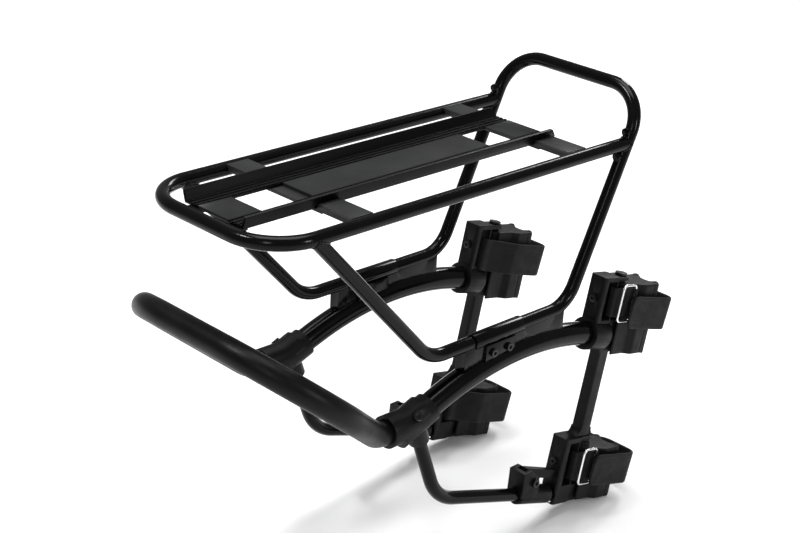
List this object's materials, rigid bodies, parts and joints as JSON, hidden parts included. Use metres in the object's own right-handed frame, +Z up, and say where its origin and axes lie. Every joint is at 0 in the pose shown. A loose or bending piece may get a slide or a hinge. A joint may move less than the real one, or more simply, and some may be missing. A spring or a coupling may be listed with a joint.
{
  "type": "bicycle rear rack",
  "caption": "Tubular rear rack for a bicycle: grooved platform, front hoop, two arches, a rear loop, and strap-on brackets that grip the seat stays.",
  "frame": {"origin": "middle of the platform floor's top face", "axes": "+X to the front of the bicycle, +Y to its left, +Z up"},
  "size_m": [0.4149, 0.1978, 0.3351],
  "materials": {
    "gloss_black": "gloss black powder coat on aluminium tube",
    "satin_black": "satin black powder coat on aluminium tube",
    "satin_grey": "satin dark grey coat on aluminium",
    "matte_black": "matte black glass-filled nylon",
    "pad_rubber": "matte black rubber",
    "webbing": "woven black webbing",
    "wire": "bright steel wire",
    "dark_steel": "blackened steel"
  },
  "bodies": {
    "rack": {"deck_loop": "gloss_black", "hoop_frame": "gloss_black", "hoop_bosses": "gloss_black", "platform": "satin_grey", "platform_screws": "dark_steel", "rear_crossbar": "satin_grey", "front_crossbar": "satin_grey", "platform_brackets": "satin_grey", "right_saddle": "gloss_black", "left_saddle": "gloss_black", "saddle_screws": "dark_steel", "right_arch": "gloss_black", "left_arch": "gloss_black", "right_elbow": "matte_black", "left_elbow": "matte_black", "elbow_bolts": "dark_steel", "rear_loop": "satin_black"},
    "right_strut": {"right_strut": "gloss_black", "right_strut_clamp": "matte_black", "right_clamp_bolt": "dark_steel"},
    "right_bracket": {"right_bracket": "matte_black", "right_pad_pins": "dark_steel", "right_bracket_bolts": "dark_steel", "right_upper_strap": "webbing", "right_lower_strap": "webbing", "right_upper_tab": "webbing", "right_lower_tab": "webbing"},
    "right_upper_pad": {"right_upper_pad": "pad_rubber"},
    "right_upper_ring": {"right_upper_ring": "wire"},
    "right_lower_pad": {"right_lower_pad": "pad_rubber"},
    "right_lower_ring": {"right_lower_ring": "wire"},
    "left_strut": {"left_strut": "gloss_black", "left_strut_clamp": "matte_black", "left_clamp_bolt": "dark_steel"},
    "left_bracket": {"left_bracket": "matte_black", "left_pad_pins": "dark_steel", "left_bracket_bolts": "dark_steel", "left_upper_strap": "webbing", "left_lower_strap": "webbing", "left_upper_tab": "webbing", "left_lower_tab": "webbing"},
    "left_upper_pad": {"left_upper_pad": "pad_rubber"},
    "left_upper_ring": {"left_upper_ring": "wire"},
    "left_lower_pad": {"left_lower_pad": "pad_rubber"},
    "left_lower_ring": {"left_lower_ring": "wire"}
  },
  "joints": [
    {"name": "right_bracket_roll", "type": "hinge", "parent": "rack", "child": "right_bracket", "pos_m": [0.14979, -0.0655, -0.14838], "axis": [0.9613, 0, -0.2756], "range_deg": [-3, 3]},
    {"name": "right_strut_swing", "type": "hinge", "parent": "rack", "child": "right_strut", "pos_m": [-0.0211, -0.0655, -0.1799], "axis": [0.3558, 0, -0.9346], "range_deg": [-4.2, 4.2]},
    {"name": "right_upper_pad_turn", "type": "hinge", "parent": "right_bracket", "child": "right_upper_pad", "pos_m": [0.1705, -0.0655, -0.20283], "axis": [0.2062, 0, 0.9785], "range_deg": [-4, 4]},
    {"name": "right_upper_ring_swing", "type": "hinge", "parent": "right_bracket", "child": "right_upper_ring", "pos_m": [0.17569, -0.0782, -0.20392], "axis": [0.2062, 0, 0.9785], "range_deg": [0, 15]},
    {"name": "right_lower_pad_turn", "type": "hinge", "parent": "right_bracket", "child": "right_lower_pad", "pos_m": [0.1705, -0.0655, -0.20283], "axis": [0.2062, 0, 0.9785], "range_deg": [-4, 4]},
    {"name": "right_lower_ring_swing", "type": "hinge", "parent": "right_bracket", "child": "right_lower_ring", "pos_m": [0.17569, -0.0782, -0.20392], "axis": [0.2062, 0, 0.9785], "range_deg": [0, 15]},
    {"name": "left_bracket_roll", "type": "hinge", "parent": "rack", "child": "left_bracket", "pos_m": [0.14979, 0.0655, -0.14838], "axis": [0.9613, 0, -0.2756], "range_deg": [-3, 3]},
    {"name": "left_strut_swing", "type": "hinge", "parent": "rack", "child": "left_strut", "pos_m": [-0.0211, 0.0655, -0.1799], "axis": [0.3558, 0, -0.9346], "range_deg": [-4.2, 4.2]},
    {"name": "left_upper_pad_turn", "type": "hinge", "parent": "left_bracket", "child": "left_upper_pad", "pos_m": [0.1705, 0.0655, -0.20283], "axis": [0.2062, 0, 0.9785], "range_deg": [-4, 4]},
    {"name": "left_upper_ring_swing", "type": "hinge", "parent": "left_bracket", "child": "left_upper_ring", "pos_m": [0.17569, 0.0782, -0.20392], "axis": [-0.2062, 0, -0.9785], "range_deg": [0, 15]},
    {"name": "left_lower_pad_turn", "type": "hinge", "parent": "left_bracket", "child": "left_lower_pad", "pos_m": [0.1705, 0.0655, -0.20283], "axis": [0.2062, 0, 0.9785], "range_deg": [-4, 4]},
    {"name": "left_lower_ring_swing", "type": "hinge", "parent": "left_bracket", "child": "left_lower_ring", "pos_m": [0.17569, 0.0782, -0.20392], "axis": [-0.2062, 0, -0.9785], "range_deg": [0, 15]}
  ],
  "couplings": [
    {"joint": "right_strut_swing", "follows": "right_bracket_roll", "ratio": -1.359},
    {"joint": "left_strut_swing", "follows": "left_bracket_roll", "ratio": -1.359}
  ]
}
